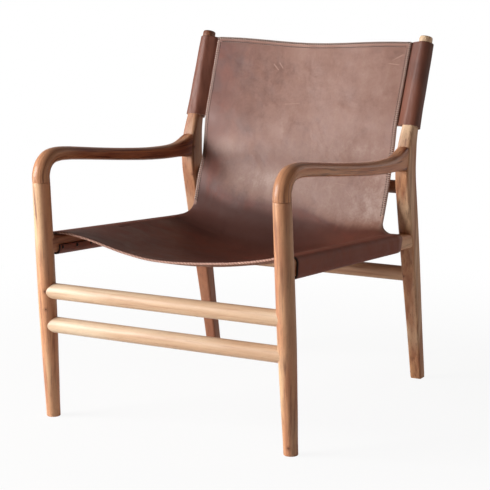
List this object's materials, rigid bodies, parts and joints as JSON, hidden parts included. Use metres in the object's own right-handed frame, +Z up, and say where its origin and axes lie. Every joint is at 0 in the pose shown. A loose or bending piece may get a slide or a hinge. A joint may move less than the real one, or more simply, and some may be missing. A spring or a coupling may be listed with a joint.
{
  "type": "lounge chair",
  "caption": "Low lounge chair: an open hardwood frame with shaped armrests and round rungs, and one thick leather sheet slung between its sides as seat and back.",
  "frame": {"origin": "centre of the chair's footprint, on the floor", "axes": "+Z up, -Y the way the sitter faces, +X towards the sitter's left hand"},
  "size_m": [0.6356, 0.7686, 0.834],
  "materials": {
    "oiled_wood": "oiled hardwood, satin, of the legs, posts and seat rails",
    "arm_wood": "darker oiled hardwood with visible grain, satin",
    "dark_wood": "dark stained hardwood of the back rail, satin",
    "pale_wood": "pale oiled hardwood of the rungs, satin",
    "saddle_leather": "thick waxed saddle leather with pale cut edges, light scuffs and a soft sheen",
    "dark_steel": "dark oxidised screw heads"
  },
  "bodies": {
    "root": {"front_leg_left": "oiled_wood", "front_leg_right": "oiled_wood", "back_post_left": "oiled_wood", "back_post_right": "oiled_wood", "armrest_left": "arm_wood", "armrest_right": "arm_wood", "seat_rail_left": "oiled_wood", "seat_rail_right": "oiled_wood", "front_rung_upper": "pale_wood", "front_rung_lower": "pale_wood", "rear_rung": "pale_wood", "back_rail": "dark_wood", "leg_dowel_left": "pale_wood", "leg_dowel_right": "pale_wood", "arm_dowel_left": "pale_wood", "arm_dowel_right": "pale_wood", "sling": "saddle_leather", "sleeve_left": "saddle_leather", "sleeve_right": "saddle_leather", "flap_screw_left_1": "dark_steel", "flap_screw_left_2": "dark_steel", "flap_screw_left_3": "dark_steel", "flap_screw_left_4": "dark_steel", "flap_screw_left_5": "dark_steel", "flap_screw_left_6": "dark_steel", "flap_screw_left_7": "dark_steel", "flap_screw_left_8": "dark_steel", "flap_screw_left_9": "dark_steel", "flap_screw_left_10": "dark_steel", "flap_screw_right_1": "dark_steel", "flap_screw_right_2": "dark_steel", "flap_screw_right_3": "dark_steel", "flap_screw_right_4": "dark_steel", "flap_screw_right_5": "dark_steel", "flap_screw_right_6": "dark_steel", "flap_screw_right_7": "dark_steel", "flap_screw_right_8": "dark_steel", "flap_screw_right_9": "dark_steel", "flap_screw_right_10": "dark_steel"}
  },
  "joints": []
}
